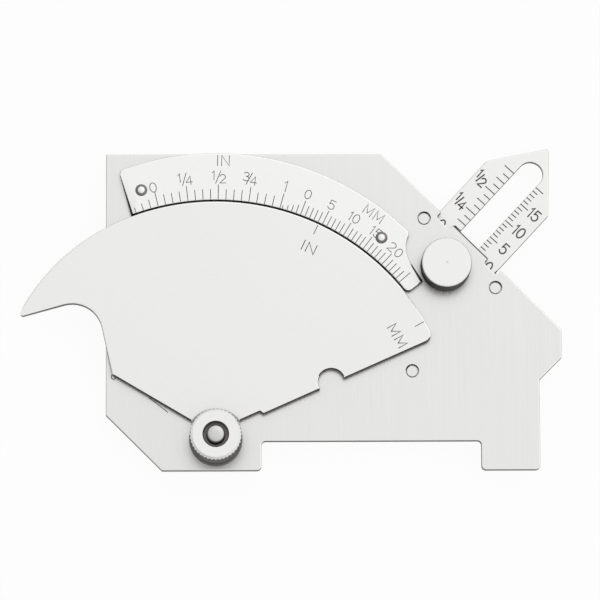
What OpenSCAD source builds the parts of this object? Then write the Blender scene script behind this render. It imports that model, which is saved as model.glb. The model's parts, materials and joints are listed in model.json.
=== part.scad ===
// Cam-type weld gauge in steel plate. A body plate stands across a weld on two feet, a cam plate swings
// on a pivot below an arc scale, and a pointed throat slide runs behind the body, held by a thumb screw.
// The gauge lies on its back. The pivot axis is X = Y = 0, the resting plane is Z = 0, X runs along the
// feet, Y runs from the feet to the top edge, and the graduated faces look up.

/* [Body plate] */
// Thickness of the body plate
body_t = 2.0; // [1.6:0.1:3]
// Pivot axis to the left edge
pivot_to_left = 23.9; // [22:0.1:27]
// How far the flat of the nose lies past the outer radius of the arc scale
nose_past_scale = 12.45; // [11:0.05:16]
// Pivot axis down to the standing face of the feet
pivot_to_feet = 6.7; // [6.0:0.1:7.6]
// Height of the bridge edge over the standing face
bridge_rise = 6.4; // [4.5:0.1:7]
// Pivot axis to the inner side of the left foot
left_foot_reach = 9.9; // [8.5:0.1:12]
// Free width of the bridge between the feet
bridge_span = 47.9; // [44:0.1:50]
// How far the nose stands out past the right foot
nose_overhang = 5.0; // [4:0.1:6.5]
// Length of the flat of the nose
nose_flat = 6.1; // [4.5:0.1:7.5]
// Leg of the sloping cut at the lower left corner
corner_cut = 12.2; // [8:0.1:14]
// Radius of the corners of the feet
foot_corner_r = 1.0; // [0.5:0.1:1.8]
// Radius in the two inner corners of the bridge
bridge_corner_r = 0.9; // [0.4:0.1:1.8]
// Radius of the corners of the nose
nose_corner_r = 0.8; // [0.4:0.1:1.8]
// Body edge left free above the arc scale
top_margin = 0.1; // [0:0.1:2]

/* [Reading edge] */
// Width of the tongue on which the slide is read
tongue_w = 10.5; // [9:0.1:11.5]
// Depth of the two windows beside the tongue
window_depth = 1.4; // [0.8:0.1:1.8]
// Radius in the inner corners of the windows
window_r = 0.6; // [0.3:0.1:0.7]
// Width by which the windows pass the sides of the slide
window_over = 0.15; // [0.05:0.05:0.4]

/* [Cam plate] */
// Radius of the cam rim about the pivot
cam_r = 52.4; // [51:0.1:53.5]
// Thickness of the cam plate and the arc scale
cam_t = 2.0; // [1.5:0.1:2.5]
// Direction of the beak point from the pivot
beak_angle = 148.1; // [147:0.1:150]
// Direction from which the back of the beak falls in from the rim
beak_fall_angle = 113; // [111:0.5:125]
// How far the beak point lies inside the rim radius
beak_drop = 1.65; // [0:0.05:2.5]
// Slope of the underside of the beak
beak_slope = 15.2; // [13:0.1:18]
// Rounding of the beak point
beak_tip_r = 0.6; // [0.3:0.1:0.7]
// Radius of the hollow under the beak
beak_hollow_r = 6.6; // [5.5:0.1:8]
// Direction of the left edge of the cam from the pivot
cam_left_angle = 149.3; // [147:0.1:151]
// Pivot axis to the heel corner along the left edge
heel_reach = 26.5; // [25:0.1:28]
// Rounding of the heel corner
heel_r = 0.4; // [0.2:0.1:1]
// Direction of the side from the heel up to the beak
heel_side_angle = 102.5; // [100:0.5:107]
// Direction of the right edge of the cam from the pivot
cam_right_angle = 24; // [22:0.5:26]
// Height of the left and right edges over a line through the pivot
cam_edge_rise = 0.65; // [0.3:0.05:0.9]
// Radius of the corner at the right end of the rim
cam_corner_r = 1.8; // [0.6:0.1:2]
// Radius of the round lobe about the pivot
lobe_r = 5.8; // [5.5:0.1:6.6]
// Radius of the corners between the lobe and the edges
lobe_fillet_r = 0.9; // [0.4:0.1:1]
// Pivot axis to the step in the right edge
step_reach = 11.2; // [10:0.1:13]
// Depth of the step in the right edge
step_depth = 0.85; // [0.6:0.05:1.2]
// Rounding of the corners of the step
step_r = 0.2; // [0.1:0.05:0.25]
// Pivot axis to the round notch along the right edge
notch_reach = 28; // [24:0.5:34]
// Radius of the round notch
notch_r = 2.9; // [2:0.1:3.5]
// How far the centre of the notch lies inside the edge
notch_inset = 0.4; // [0:0.1:1]

/* [Arc scale] */
// Width of the arc scale at its highest point
scale_w = 10.4; // [9.8:0.1:11.5]
// How far the centre of the outer edge lies over the pivot
scale_outer_rise = 3.5; // [0:0.1:5]
// Gap between the cam rim and the arc scale
rim_gap = 0.35; // [0.2:0.05:0.5]
// Direction of the inner corner at the left end of the arc scale
scale_left_angle = 110.4; // [109:0.1:112]
// Direction of the left end from that corner outward
scale_left_slope = 105.2; // [102:0.2:111]
// Right end of the arc scale, turned up from the line to the thumb screw
scale_end_turn = 0.35; // [0:0.05:1]
// Rounding of the outer corners of the arc scale
scale_corner_r = 1.0; // [0.4:0.1:1.4]
// Rounding of the inner corner at the right end of the arc scale
scale_end_corner_r = 1.2; // [0.4:0.1:1.6]
// Gap between the right end of the arc scale and the thumb screw
scale_end_gap = 0.55; // [0.4:0.05:1]
// How much larger than the thumb screw the relief beside it is, in radius
relief_room = 1.2; // [0.9:0.1:1.5]
// Centre of the relief, outward along the guide from the thumb screw
relief_out = 1.5; // [1:0.1:2]
// Centre of the relief, aside from the middle of the guide
relief_aside = 4.3; // [4:0.1:4.6]
// Directions of the two scale rivets
scale_rivet_angles = [106.4, 50.6]; // [48:0.1:108]
// Inner edge of the arc scale to the scale rivets
scale_rivet_inset = 4.5; // [3.5:0.05:6.5]
// Diameter of the domed heads of the scale rivets
scale_rivet_d = 2.7; // [2.2:0.1:3.2]
// Height of the domed heads
rivet_dome = 0.55; // [0.3:0.05:0.8]
// Diameter of the shanks of the scale rivets
rivet_shank_d = 1.6; // [1.2:0.1:1.8]

/* [Throat slide] */
// Width of the slide
slide_w = 18.2; // [17.6:0.1:18.6]
// Thickness of the slide
slide_t = 1.5; // [1.2:0.1:2]
// Length of the point past the straight sides
point_len = 11.0; // [9:0.1:12.5]
// How far the point lies aside of the middle of the slide
point_aside = 0.8; // [0:0.1:1.5]
// Flat left on the end of the point
point_flat = 0.5; // [0.3:0.1:1]
// Width of the slot
slot_w = 5.6; // [5.4:0.1:6]
// Point of the slide to the centre of the outer end of the slot
point_to_slot = 6.8; // [6.4:0.1:9]
// Length of slot kept inside the screw at reading zero
slot_over = 0.8; // [0.4:0.1:2]
// Length of the slide past the inner pair of pillars
tail_over = 2.5; // [1.5:0.1:4]
// Throat reading at which the slide stands
rest_reading = 0.6; // [0:0.1:4]
// Part of the side play that the slide takes up by standing askew
askew_share = 0.83; // [0:0.01:0.84]

/* [Guide] */
// Body edge to the outer pair of guide pillars
pillar_inset = 3.5; // [3.2:0.1:4.5]
// Distance between the two pairs of pillars
pillar_pitch = 26; // [24:0.5:28]
// Diameter of the guide pillars
pillar_d = 2.5; // [2.2:0.1:2.6]
// Side play between the slide and each row of pillars
guide_play = 0.6; // [0.4:0.05:0.65]
// Diameter of the sunk front heads of the pillars
pillar_head_d = 2.4; // [2.2:0.1:2.6]
// Thickness of the sunk front heads
pillar_head_t = 1.0; // [0.6:0.1:1.2]
// Depth of the sunk front heads under the face of the body
pillar_sunk = 0.5; // [0.2:0.05:0.6]
// Diameter of the riveted ends of the pillars
pillar_tenon_d = 1.8; // [1.4:0.1:2]
// Depth and overhang of the riveted heads filled flush
countersink = 0.5; // [0.3:0.05:0.6]
// Body edge to the thumb screw
lock_inset = 8.0; // [7:0.1:9]
// How far the axis of the thumb screw lies inside the outer radius of the arc scale
lock_inside_scale = 0.05; // [-0.5:0.05:1]
// Thickness of the back cover
cover_t = 1.0; // [0.8:0.1:1.6]
// Cover left round the pillars
cover_rim = 3.0; // [2.4:0.1:4]
// Radius of the corners of the back cover
cover_corner_r = 2; // [0.5:0.1:4]
// Body edge to the edge of the back cover
cover_edge_gap = 0.5; // [0:0.1:1]
// Overhang of the flange of the clamp bush
bush_flange = 1.3; // [0.8:0.1:2]
// Thickness of the flange of the clamp bush
bush_flange_t = 0.5; // [0.3:0.05:0.7]
// Height that the clamp bush leaves free below the body, for clamping
clamp_free = 0.2; // [0.1:0.05:0.4]

/* [Knurled nut and thumb screw] */
// Diameter over the knurl of the pivot nut
nut_d = 11.25; // [10.6:0.05:11.4]
// Height of the pivot nut
nut_h = 7.2; // [5.5:0.1:8]
// Edge bevel of the pivot nut
nut_bevel = 0.6; // [0.3:0.1:0.9]
// Diameter of the recess in the top of the pivot nut
nut_recess_d = 5.4; // [5:0.1:7]
// Depth of the recess in the top of the pivot nut
nut_recess_depth = 2.4; // [1.5:0.1:3]
// Diameter over the knurl of the thumb screw
screw_d = 11.0; // [10:0.1:12]
// Height of the head of the thumb screw
screw_h = 6.2; // [4.5:0.1:7]
// Edge bevel of the thumb screw
screw_bevel = 0.4; // [0.2:0.1:0.8]
// Diameter of the dimple in the top of the thumb screw
screw_dimple_d = 0.7; // [0.4:0.1:1.5]
// Thread diameter of the thumb screw
screw_thread_d = 3.0; // [2.5:0.1:3.2]
// Body hole for the thumb screw, larger than its thread
screw_hole_over = 0.4; // [0.2:0.1:0.8]
// Thread diameter of the pivot stud
stud_thread_d = 4.0; // [3.5:0.1:4.4]
// How far the end of the stud stands up over the floor of the recess
stud_rise = 3.2; // [1:0.1:4]
// Height of the domed end of the stud
stud_dome = 0.7; // [0.4:0.1:1]
// Diameter of the stud's shoulder, on which the cam turns
shoulder_d = 6.0; // [5.2:0.1:7]
// How far the shoulder ends below the face of the cam, so that the nut can clamp it
shoulder_low = 0.2; // [0.1:0.05:0.5]
// Diameter of the head of the stud
stud_head_d = 8.0; // [7.4:0.1:12]
// Bevel on the ends of the stud and the screw
end_bevel = 0.3; // [0.1:0.1:0.5]
// Thickness of the washer under the nut
washer_t = 0.4; // [0.3:0.1:0.8]
// How far the washer lies inside the rim of the nut
washer_inset = 0.6; // [0.3:0.1:1]

/* [Clearances] */
// Gap between faces that slide on each other
face_gap = 0.05; // [0.03:0.01:0.08]
// Gap round turning shanks and threads
shank_gap = 0.05; // [0.03:0.01:0.08]
// Gap round riveted shanks
rivet_gap = 0.02; // [0.01:0.01:0.04]
// Dark gap round the sunk ends of the guide pillars
head_gap = 0.3; // [0.1:0.05:0.4]
// Gap between the barrel of the clamp bush and the slot
bush_gap = 0.07; // [0.05:0.01:0.1]
// Depth of the end of the thumb screw inside the clamp bush
screw_end_low = 0.3; // [0.2:0.1:0.5]

/* [Hidden] */
$fn = 96;
rim_step = 1.5;
fillet_step = 9;
through = 1;

// Levels up from the resting plane
slide_z = cover_t + face_gap;
body_z = slide_z + slide_t + face_gap;
body_top = body_z + body_t;
cam_z = body_top + face_gap;
cam_top = cam_z + cam_t;
scale_top = body_top + cam_t;

// The body follows the arc scale: its top edge lies over the scale and its nose past it
feet_y = -pivot_to_feet;
bridge_y = feet_y + bridge_rise;
scale_in_r = cam_r + rim_gap;
scale_out_r = scale_in_r + scale_w;
top_y = scale_out_r + top_margin;
nose_x = scale_out_r + nose_past_scale;

// The guide runs at 45 degrees to the corner that the top edge and the nose would make.
// The thumb screw lies on it beside the arc scale, and the sloping edge of the body lies past the screw.
guide_angle = 45;
corner_along = (nose_x + top_y) / sqrt(2);
corner_aside = (top_y - nose_x) / sqrt(2);
lock_r = scale_out_r - lock_inside_scale;
lock_along = sqrt(lock_r * lock_r - corner_aside * corner_aside);
point_at_zero = corner_along - lock_along - lock_inset;
guide_origin = [nose_x, top_y] - polar(point_at_zero, guide_angle);
slope_leg = point_at_zero * sqrt(2);
top_right_x = nose_x - slope_leg;
nose_top = top_y - slope_leg;
nose_bottom = nose_top - nose_flat;
right_foot_in = left_foot_reach + bridge_span;
right_foot_out = nose_x - nose_overhang;

// Slide and pillars, in the guide
pillar_side = slide_w / 2 + guide_play + pillar_d / 2;
pillar_inner = pillar_inset + pillar_pitch;
guide_middle = -(pillar_inset + pillar_inner) / 2;
askew = atan(askew_share * guide_play / (pillar_pitch / 2));
slide_point = point_at_zero - rest_reading;
slot_outer = slide_point - point_to_slot;
slot_inner = -lock_inset - slot_over - rest_reading;
slide_tail = -(pillar_inner + tail_over);
bush_d = slot_w - 2 * (tan(askew) * abs(lock_inset + guide_middle) + bush_gap);
bush_flange_d = bush_d + 2 * bush_flange;

// Arc scale beside the thumb screw
lock_place = guide_place(-lock_inset, 0);
scale_right_angle = direction([0, 0], lock_place) + scale_end_turn;
scale_end_r = lock_r - screw_d / 2 - scale_end_gap;
scale_rivet_reach = scale_in_r + scale_rivet_inset;
scale_outer_centre = [0, scale_outer_rise];
scale_outer_r = scale_out_r - scale_outer_rise;
relief_r = screw_d / 2 + relief_room;
relief_centre = guide_place(relief_out - lock_inset, relief_aside);

// Pivot fittings
shoulder_top = cam_top - shoulder_low;
washer_z = cam_top + face_gap;
nut_z = washer_z + washer_t;
stud_end = nut_z + nut_h - nut_recess_depth + stud_rise;

steel = [0.80, 0.80, 0.79];
bright_steel = [0.86, 0.86, 0.85];
dark_steel = [0.62, 0.62, 0.61];

function unit(v) = v / norm(v);
function polar(r, angle) = r * [cos(angle), sin(angle)];

function direction(from, to) = atan2(to.y - from.y, to.x - from.x);

// Points of an arc about the pivot
function arc(r, from, to, step = rim_step) =
    let (n = max(2, ceil(abs(to - from) / step)))
    [for (i = [0 : n]) polar(r, from + (to - from) * i / n)];

// Points that round the corner at p, between its neighbours a and b
function corner(a, p, b, r) =
    let (u = unit(a - p), w = unit(b - p), half = acos(u * w) / 2)
    let (reach = r / tan(half), centre = p + unit(u + w) * r / sin(half))
    let (first = p + u * reach - centre, turn = sign(cross(w, u)) * (180 - 2 * half))
    let (start = atan2(first.y, first.x), n = ceil(abs(turn) / fillet_step))
    [for (i = [0 : n]) centre + polar(r, start + turn * i / n)];

// Outline through points [x, y] and rounded corners [x, y, radius]
function outline(points) =
    let (n = len(points), flat = [for (p = points) [p.x, p.y]])
    [for (i = [0 : n - 1])
        each len(points[i]) < 3
            ? [flat[i]]
            : corner(flat[(i + n - 1) % n], flat[i], flat[(i + 1) % n], points[i].z)];

// Point on an edge that passes the pivot at a given rise
function edge_point(angle, rise, reach) =
    polar(reach, angle) + rise * (cos(angle) > 0 ? 1 : -1) * [-sin(angle), cos(angle)];
function edge_at_radius(angle, rise, r) = edge_point(angle, rise, sqrt(r * r - rise * rise));

// Crossing of two lines, each given by a point and a direction
function crossing(p, p_angle, q, q_angle) =
    let (u = polar(1, p_angle), w = polar(1, q_angle))
    p + u * cross(q - p, w) / cross(u, w);

// Upper crossing of a circle about the pivot with a circle about another centre
function circle_crossing(pivot_r, centre, r) =
    let (d = norm(centre), along = (pivot_r * pivot_r - r * r + d * d) / (2 * d))
    let (aside = sqrt(pivot_r * pivot_r - along * along))
    along * centre / d + aside * [-centre.y, centre.x] / d;

// Point where a line from p leaves a circle about another centre
function circle_reach(p, angle, centre, r) =
    let (u = polar(1, angle), d = p - centre, along = d * u)
    p + u * (sqrt(along * along - d * d + r * r) - along);

function rounded(p, r) = [p.x, p.y, r];

// Radius of the cam outline: the back of the beak falls in from the rim towards its point
function rim_r(angle) =
    let (share = max(0, angle - beak_fall_angle) / (beak_angle - beak_fall_angle))
    cam_r - beak_drop * share * share;

// Point in the guide: x runs outward along the guide, y across it
function guide_place(x, y) = guide_origin + polar(x, guide_angle) + polar(y, guide_angle + 90);

// Places a shape in the guide: X runs outward along the guide, Y across it
module on_guide() {
    translate(guide_origin)
        rotate(guide_angle)
            children();
}

// Places a shape on the slide, which stands a little askew between the pillars
module on_slide() {
    on_guide()
        translate([guide_middle, 0])
            rotate(askew)
                translate([-guide_middle, 0])
                    children();
}

module plate(z, t) {
    translate([0, 0, z])
        linear_extrude(t)
            children();
}

module bore(d, z, h) {
    translate([0, 0, z])
        cylinder(d = d, h = h);
}

// Turned shape from [radius, height] points
module turned(profile) {
    rotate_extrude()
        polygon(profile);
}

module at_pillar(row, side) {
    on_guide()
        translate([-(row == 0 ? pillar_inset : pillar_inner), side * pillar_side])
            children();
}

module at_lock() {
    on_guide()
        translate([-lock_inset, 0])
            children();
}

module at_scale_rivet(i) {
    translate(polar(scale_rivet_reach, scale_rivet_angles[i]))
        children();
}

module body_outline() {
    foot_join = nose_bottom - nose_overhang;
    polygon(outline([
        [-pivot_to_left, top_y],
        [-pivot_to_left, feet_y + corner_cut],
        [-pivot_to_left + corner_cut, feet_y],
        [left_foot_reach, feet_y, foot_corner_r],
        [left_foot_reach, bridge_y, bridge_corner_r],
        [right_foot_in, bridge_y, bridge_corner_r],
        [right_foot_in, feet_y, foot_corner_r],
        [right_foot_out, feet_y, foot_corner_r],
        [right_foot_out, foot_join],
        [nose_x, nose_bottom, nose_corner_r],
        [nose_x, nose_top, nose_corner_r],
        [top_right_x, top_y]
    ]));
}

// Window beside the tongue of the reading edge, on one side of it
module reading_window(side) {
    inner = side * tongue_w / 2;
    outer = side * (slide_w / 2 + window_over);
    on_guide()
        polygon(outline([
            [through, inner],
            [-window_depth, inner, window_r],
            [-window_depth, outer, window_r],
            [through, outer]
        ]));
}

module body_plate() {
    color(steel)
        difference() {
            plate(body_z, body_t)
                difference() {
                    body_outline();
                    reading_window(1);
                    reading_window(-1);
                }
            bore(shoulder_d + 2 * rivet_gap, body_z - through, body_t + 2 * through);
            at_lock()
                bore(screw_thread_d + screw_hole_over, body_z - through, body_t + 2 * through);
            for (row = [0, 1], side = [-1, 1])
                at_pillar(row, side) {
                    bore(pillar_tenon_d + 2 * rivet_gap, body_z - through, body_t + 2 * through);
                    bore(
                        pillar_head_d + 2 * head_gap,
                        body_top - pillar_sunk - pillar_head_t,
                        pillar_sunk + pillar_head_t + through
                    );
                }
            for (i = [0, 1])
                at_scale_rivet(i) {
                    bore(rivet_shank_d + 2 * rivet_gap, body_z - through, body_t + 2 * through);
                    translate([0, 0, body_z - rivet_gap])
                        cylinder(
                            r1 = rivet_shank_d / 2 + countersink + rivet_gap,
                            r2 = rivet_shank_d / 2 + rivet_gap,
                            h = countersink
                        );
                }
        }
}

// Band about the pivot, with a hollow in the outer side of its right end that clears the thumb screw
module scale_outline() {
    rim_free = 2.4;
    relief_free = 14;
    left_inner = polar(scale_in_r, scale_left_angle);
    left_outer = circle_reach(left_inner, scale_left_slope, scale_outer_centre, scale_outer_r);
    right_inner = polar(scale_in_r, scale_right_angle);
    right_outer = polar(scale_end_r, scale_right_angle);
    relief_from = relief_centre - scale_outer_centre;
    relief_corner = scale_outer_centre + circle_crossing(scale_outer_r, relief_from, relief_r);
    outer_from = direction(scale_outer_centre, left_outer) - rim_free;
    outer_to = direction(scale_outer_centre, relief_corner) + rim_free;
    relief_start = direction(relief_centre, relief_corner) + relief_free;
    end_lean = asin(relief_r / norm(relief_centre - right_outer));
    relief_stop = direction(right_outer, relief_centre) + end_lean + 90;
    polygon(outline(concat(
        [rounded(right_inner, scale_end_corner_r)],
        arc(scale_in_r, scale_right_angle + rim_free, scale_left_angle),
        [rounded(left_outer, scale_corner_r)],
        [for (p = arc(scale_outer_r, outer_from, outer_to)) scale_outer_centre + p],
        [rounded(relief_corner, scale_corner_r)],
        [for (p = arc(relief_r, relief_start, relief_stop, fillet_step)) relief_centre + p],
        [right_outer]
    )));
}

module scale_plate() {
    color(bright_steel)
        difference() {
            plate(body_top, cam_t)
                scale_outline();
            for (i = [0, 1])
                at_scale_rivet(i)
                    bore(rivet_shank_d + 2 * rivet_gap, body_top - through, cam_t + 2 * through);
        }
}

// Domed rivet with its other end filled flush into the back of the body
module scale_rivet(i) {
    head_r = scale_rivet_d / 2;
    dome_r = (head_r * head_r + rivet_dome * rivet_dome) / (2 * rivet_dome);
    dome_base = scale_top + rivet_dome - dome_r;
    dome_angle = asin((dome_r - rivet_dome) / dome_r);
    dome_steps = 10;
    dome = [for (k = [0 : dome_steps])
        [0, dome_base] + polar(dome_r, dome_angle + (90 - dome_angle) * k / dome_steps)];
    color(dark_steel)
        at_scale_rivet(i)
            turned(concat(
                [
                    [0, body_z],
                    [rivet_shank_d / 2 + countersink, body_z],
                    [rivet_shank_d / 2, body_z + countersink],
                    [rivet_shank_d / 2, scale_top]
                ],
                dome
            ));
}

module scale_rivet_left() scale_rivet(0);
module scale_rivet_right() scale_rivet(1);

module cam_outline() {
    rim_free = 2.4;
    lobe_free = 12;
    step_back = cam_edge_rise + step_depth;
    rim_end = edge_at_radius(cam_right_angle, cam_edge_rise, cam_r);
    rim_end_angle = atan2(rim_end.y, rim_end.x);
    beak = polar(rim_r(beak_angle), beak_angle);
    heel = edge_point(cam_left_angle, cam_edge_rise, heel_reach);
    hollow = crossing(beak, beak_slope, heel, heel_side_angle);
    lobe_left = edge_at_radius(cam_left_angle, cam_edge_rise, lobe_r);
    lobe_right = edge_at_radius(cam_right_angle, step_back, lobe_r);
    lobe_start = atan2(lobe_left.y, lobe_left.x) + lobe_free;
    lobe_stop = 360 + atan2(lobe_right.y, lobe_right.x) - lobe_free;
    polygon(outline(concat(
        [rounded(rim_end, cam_corner_r)],
        [for (a = [rim_end_angle + rim_free : rim_step : beak_angle - rim_free]) polar(rim_r(a), a)],
        [
            rounded(beak, beak_tip_r),
            rounded(hollow, beak_hollow_r),
            rounded(heel, heel_r),
            rounded(lobe_left, lobe_fillet_r)
        ],
        arc(lobe_r, lobe_start, lobe_stop, fillet_step),
        [
            rounded(lobe_right, lobe_fillet_r),
            rounded(edge_point(cam_right_angle, step_back, step_reach), step_r),
            rounded(edge_point(cam_right_angle, cam_edge_rise, step_reach + step_depth / 2), step_r)
        ]
    )));
}

module cam_plate() {
    color(bright_steel)
        difference() {
            plate(cam_z, cam_t)
                cam_outline();
            translate(edge_point(cam_right_angle, cam_edge_rise + notch_inset, notch_reach))
                bore(2 * notch_r, cam_z - through, cam_t + 2 * through);
            bore(shoulder_d + 2 * shank_gap, cam_z - through, cam_t + 2 * through);
        }
}

// Headed stud: the head is behind the body, the shoulder carries the cam, and the thread takes the nut
module pivot_stud() {
    thread_r = stud_thread_d / 2;
    color(dark_steel)
        turned([
            [0, 0],
            [stud_head_d / 2 - end_bevel, 0],
            [stud_head_d / 2, end_bevel],
            [stud_head_d / 2, body_z],
            [shoulder_d / 2, body_z],
            [shoulder_d / 2, shoulder_top],
            [thread_r, shoulder_top],
            [thread_r, stud_end - stud_dome],
            [thread_r * 0.85, stud_end - stud_dome * 0.35],
            [thread_r * 0.5, stud_end - stud_dome * 0.08],
            [0, stud_end]
        ]);
}

module pivot_washer() {
    color(dark_steel)
        difference() {
            bore(nut_d - 2 * washer_inset, washer_z, washer_t);
            bore(stud_thread_d + 2 * shank_gap, washer_z - through, washer_t + 2 * through);
        }
}

// Knurled round nut with the end of the stud in a recess
module pivot_nut() {
    r = nut_d / 2;
    top = nut_z + nut_h;
    floor_z = top - nut_recess_depth;
    bore_r = stud_thread_d / 2 + shank_gap;
    recess_bevel = end_bevel * 0.6;
    color(bright_steel)
        turned([
            [bore_r, nut_z],
            [r - nut_bevel, nut_z],
            [r, nut_z + nut_bevel],
            [r, top - nut_bevel],
            [r - nut_bevel, top],
            [nut_recess_d / 2 + recess_bevel, top],
            [nut_recess_d / 2, top - recess_bevel],
            [nut_recess_d / 2, floor_z],
            [bore_r, floor_z]
        ]);
}

module slide_outline() {
    half = slide_w / 2;
    shoulder = slide_point - point_len;
    difference() {
        polygon([
            [slide_tail, -half],
            [shoulder, -half],
            [slide_point, point_aside - point_flat / 2],
            [slide_point, point_aside + point_flat / 2],
            [shoulder, half],
            [slide_tail, half]
        ]);
        translate([slot_outer, 0])
            circle(d = slot_w);
        translate([slot_inner, 0])
            circle(d = slot_w);
        translate([slot_inner, -slot_w / 2])
            square([slot_outer - slot_inner, slot_w]);
    }
}

module throat_slide() {
    color(bright_steel)
        plate(slide_z, slide_t)
            on_slide()
                slide_outline();
}

module back_cover() {
    side = pillar_side + cover_rim;
    tail = -(pillar_inner + cover_rim);
    color(steel)
        difference() {
            plate(0, cover_t)
                on_guide()
                    polygon(outline([
                        [-cover_edge_gap, side, cover_corner_r],
                        [tail, side, cover_corner_r],
                        [tail, -side, cover_corner_r],
                        [-cover_edge_gap, -side, cover_corner_r]
                    ]));
            for (row = [0, 1], s = [-1, 1])
                at_pillar(row, s) {
                    bore(pillar_tenon_d + 2 * rivet_gap, -through, cover_t + 2 * through);
                    translate([0, 0, -rivet_gap])
                        cylinder(
                            r1 = pillar_tenon_d / 2 + countersink + rivet_gap,
                            r2 = pillar_tenon_d / 2 + rivet_gap,
                            h = countersink
                        );
                }
            at_lock() {
                bore(bush_d + 2 * rivet_gap, -through, cover_t + 2 * through);
                bore(bush_flange_d + 2 * rivet_gap, -through, bush_flange_t + through);
            }
        }
}

// Shouldered rivet that spaces the cover from the body and guides the side of the slide
module guide_pillar(row, side) {
    tenon_r = pillar_tenon_d / 2;
    head_top = body_top - pillar_sunk;
    color(dark_steel)
        at_pillar(row, side)
            turned([
                [0, 0],
                [tenon_r + countersink, 0],
                [tenon_r, countersink],
                [tenon_r, cover_t],
                [pillar_d / 2, cover_t],
                [pillar_d / 2, body_z],
                [tenon_r, body_z],
                [tenon_r, head_top - pillar_head_t],
                [pillar_head_d / 2, head_top - pillar_head_t],
                [pillar_head_d / 2, head_top],
                [0, head_top]
            ]);
}

module guide_pillar_upper_outer() guide_pillar(0, 1);
module guide_pillar_lower_outer() guide_pillar(0, -1);
module guide_pillar_upper_inner() guide_pillar(1, 1);
module guide_pillar_lower_inner() guide_pillar(1, -1);

// Tapped bush: its flange sits in the back cover and its barrel runs in the slot of the slide
module clamp_bush() {
    bore_r = screw_thread_d / 2 + shank_gap;
    barrel_top = body_z - clamp_free;
    color(dark_steel)
        at_lock()
            turned([
                [bore_r, 0],
                [bush_flange_d / 2, 0],
                [bush_flange_d / 2, bush_flange_t],
                [bush_d / 2, bush_flange_t],
                [bush_d / 2, barrel_top],
                [bore_r, barrel_top]
            ]);
}

// Knurled thumb screw that draws the cover and the body together on the slide
module thumb_screw() {
    r = screw_d / 2;
    seat = body_top + face_gap;
    top = seat + screw_h;
    thread_r = screw_thread_d / 2;
    dimple_r = screw_dimple_d / 2;
    color(bright_steel)
        at_lock()
            turned([
                [0, screw_end_low],
                [thread_r - end_bevel, screw_end_low],
                [thread_r, screw_end_low + end_bevel],
                [thread_r, seat],
                [r - screw_bevel, seat],
                [r, seat + screw_bevel],
                [r, top - screw_bevel],
                [r - screw_bevel, top],
                [dimple_r, top],
                [0, top - dimple_r]
            ]);
}

body_plate();
scale_plate();
scale_rivet_left();
scale_rivet_right();
cam_plate();
pivot_stud();
pivot_washer();
pivot_nut();
throat_slide();
back_cover();
guide_pillar_upper_outer();
guide_pillar_lower_outer();
guide_pillar_upper_inner();
guide_pillar_lower_inner();
clamp_bush();
thumb_screw();
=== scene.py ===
import json
import math

import bmesh
import bpy
from mathutils import Matrix, Vector


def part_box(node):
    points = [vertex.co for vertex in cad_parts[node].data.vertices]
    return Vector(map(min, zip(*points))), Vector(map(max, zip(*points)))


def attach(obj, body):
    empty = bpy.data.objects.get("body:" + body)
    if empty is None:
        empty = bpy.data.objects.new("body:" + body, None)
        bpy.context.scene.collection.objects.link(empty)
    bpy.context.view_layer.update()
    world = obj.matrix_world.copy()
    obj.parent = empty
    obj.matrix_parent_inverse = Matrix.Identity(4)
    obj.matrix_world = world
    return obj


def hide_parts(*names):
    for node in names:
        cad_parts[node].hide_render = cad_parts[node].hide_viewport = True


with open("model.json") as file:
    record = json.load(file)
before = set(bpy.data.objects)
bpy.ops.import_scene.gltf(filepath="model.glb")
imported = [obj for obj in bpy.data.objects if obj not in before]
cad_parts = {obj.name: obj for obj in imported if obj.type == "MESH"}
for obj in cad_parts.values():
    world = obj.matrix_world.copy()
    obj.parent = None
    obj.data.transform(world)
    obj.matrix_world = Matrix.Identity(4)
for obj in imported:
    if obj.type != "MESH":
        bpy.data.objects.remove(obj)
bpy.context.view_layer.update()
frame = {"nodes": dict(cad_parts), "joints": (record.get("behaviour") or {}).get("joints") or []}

# Body plate
# The flat plate that stands across the weld on its two feet. It is stainless sheet, cut to shape and ground
# in one direction, so its face carries fine upright streaks. The cut walls and the chamfer of the edge at
# which the slide is read are near black, partly the cut steel's own dark and partly painted shade, and the
# broken edges carry a painted highlight.
MM = 0.001
EDGE_BREAK = 0.19 * MM
READING_CHAMFER = 0.3 * MM
LOCK_INSIDE_EDGE = 8.0 * MM
TONGUE_HALF = 5.3 * MM
PILLAR_HOLE_REACH = 1.8 * MM
PILLARS = (
    "guide_pillar_upper_outer",
    "guide_pillar_lower_outer",
    "guide_pillar_upper_inner",
    "guide_pillar_lower_inner",
)
GUIDE_WAY = Vector((math.sqrt(0.5), math.sqrt(0.5)))
SHARP_EDGE = math.radians(50)
SMOOTH_EDGE = math.radians(20)
JOINED_FACES = math.radians(0.3)
MERGED_POINTS = 0.002 * MM
SAME_HEIGHT = 0.01 * MM
SAME_SLOPE = 0.05 * MM
FLAT_SHARE = 0.75
BODY_STEEL = (0.805, 0.805, 0.795)
# Near black: partly the cut steel's own dark and partly painted shade.
CUT_SHADE_STEEL = (0.075, 0.068, 0.062)
# Brighter than the face: a painted highlight on the broken edges.
BROKEN_EDGE_HIGHLIGHT_STEEL = (0.97, 0.97, 0.96)
# Turns of a grain's noise in a metre along X, Y and Z
UPRIGHT_GRAIN = (2600.0, 28.0, 900.0)
CUT_GRAIN = (900.0, 900.0, 2400.0)
NOISE_MIDDLE = 0.5
RELIEF_STRENGTH = 0.35
GROUND_SPREAD = 0.16
EFFECT_OUTPUTS = {"Color": "Color", "Roughness": "Float", "Height": "Float"}


def put(tree, socket, value):
    """Links a socket to a value's socket, or sets the value on it."""
    if isinstance(value, bpy.types.NodeSocket):
        tree.links.new(value, socket)
    else:
        socket.default_value = value


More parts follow.
